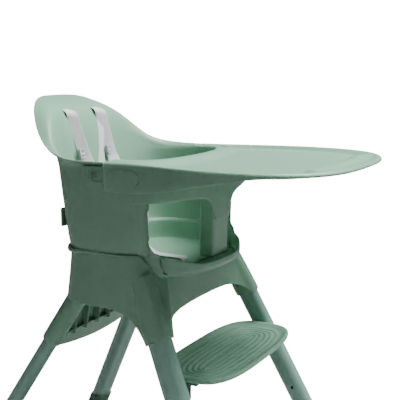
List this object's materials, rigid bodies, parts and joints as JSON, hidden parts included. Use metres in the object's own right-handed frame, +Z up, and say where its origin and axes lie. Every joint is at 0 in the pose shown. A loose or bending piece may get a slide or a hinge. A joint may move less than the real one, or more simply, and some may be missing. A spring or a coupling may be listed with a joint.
{
  "type": "baby high chair",
  "caption": "High chair for a baby: moulded bucket seat with flared rim on a splayed-leg chassis, slide-on tray with belly cut-out, footplate and harness.",
  "frame": {"origin": "centre of the footprint's bounding box, on the floor", "axes": "+Z up, the sitter faces -Y, +X is the sitter's left; X = 0 is the plane of symmetry"},
  "size_m": [0.5876, 0.842, 0.845],
  "materials": {
    "shell": "satin, fine grain",
    "leg": "satin powder coat",
    "foot": "matte",
    "button": "satin",
    "steel": "zinc plated",
    "webbing": "woven",
    "buckle": "semi-gloss",
    "release": "semi-gloss"
  },
  "bodies": {
    "chair": {"base_shell": "shell", "under_frame": "shell", "seat_shell": "shell", "armrest_left": "shell", "armrest_right": "shell", "lock_indicators": "button", "seat_screws": "steel", "leg_front_left": "leg", "leg_front_right": "leg", "leg_rear_left": "leg", "leg_rear_right": "leg", "foot_caps": "foot", "footplate": "shell", "footplate_bracket_left": "shell", "footplate_bracket_right": "shell", "shoulder_strap_left": "webbing", "shoulder_strap_right": "webbing", "waist_straps": "webbing", "crotch_strap": "webbing", "strap_adjusters": "buckle", "strap_keepers": "buckle", "buckle_body": "buckle", "buckle_tongues": "buckle"},
    "tray": {"tray_shell": "shell", "tray_rail": "shell", "tray_screws": "steel"},
    "latch_left": {"latch_slider_left": "button"},
    "pin_left": {"footplate_pin_left": "steel"},
    "latch_right": {"latch_slider_right": "button"},
    "pin_right": {"footplate_pin_right": "steel"},
    "leg_button_front_left": {"lock_button_front_left": "button"},
    "leg_button_front_right": {"lock_button_front_right": "button"},
    "leg_button_rear_left": {"lock_button_rear_left": "button"},
    "leg_button_rear_right": {"lock_button_rear_right": "button"},
    "buckle_release": {"buckle_button": "release"}
  },
  "joints": [
    {"name": "tray_slide", "type": "slide", "parent": "chair", "child": "tray", "axis": [0, -1, 0], "range_m": [0, 0.09]},
    {"name": "latch_left_slide", "type": "slide", "parent": "tray", "child": "latch_left", "axis": [0, -1, 0], "range_m": [0, 0.012], "stiffness_N_per_m": 400, "springref_m": -0.004},
    {"name": "footplate_pin_left_pull", "type": "slide", "parent": "chair", "child": "pin_left", "axis": [-0.9867, -0.0352, -0.1586], "range_m": [0, 0.01], "stiffness_N_per_m": 600, "springref_m": -0.004},
    {"name": "latch_right_slide", "type": "slide", "parent": "tray", "child": "latch_right", "axis": [0, -1, 0], "range_m": [0, 0.012], "stiffness_N_per_m": 400, "springref_m": -0.004},
    {"name": "footplate_pin_right_pull", "type": "slide", "parent": "chair", "child": "pin_right", "axis": [0.9867, -0.0352, -0.1586], "range_m": [0, 0.01], "stiffness_N_per_m": 600, "springref_m": -0.004},
    {"name": "leg_button_front_left_press", "type": "slide", "parent": "chair", "child": "leg_button_front_left", "axis": [0.9578, -0.1541, 0.2425], "range_m": [0, 0.006], "stiffness_N_per_m": 500, "springref_m": -0.002},
    {"name": "leg_button_front_right_press", "type": "slide", "parent": "chair", "child": "leg_button_front_right", "axis": [-0.9578, -0.1541, 0.2425], "range_m": [0, 0.006], "stiffness_N_per_m": 500, "springref_m": -0.002},
    {"name": "leg_button_rear_left_press", "type": "slide", "parent": "chair", "child": "leg_button_rear_left", "axis": [0.4077, 0.7498, 0.5211], "range_m": [0, 0.006], "stiffness_N_per_m": 500, "springref_m": -0.002},
    {"name": "leg_button_rear_right_press", "type": "slide", "parent": "chair", "child": "leg_button_rear_right", "axis": [-0.4077, 0.7498, 0.5211], "range_m": [0, 0.006], "stiffness_N_per_m": 500, "springref_m": -0.002},
    {"name": "buckle_press", "type": "slide", "parent": "chair", "child": "buckle_release", "axis": [0, 1, 0], "range_m": [0, 0.0025], "stiffness_N_per_m": 800, "springref_m": -0.001}
  ]
}
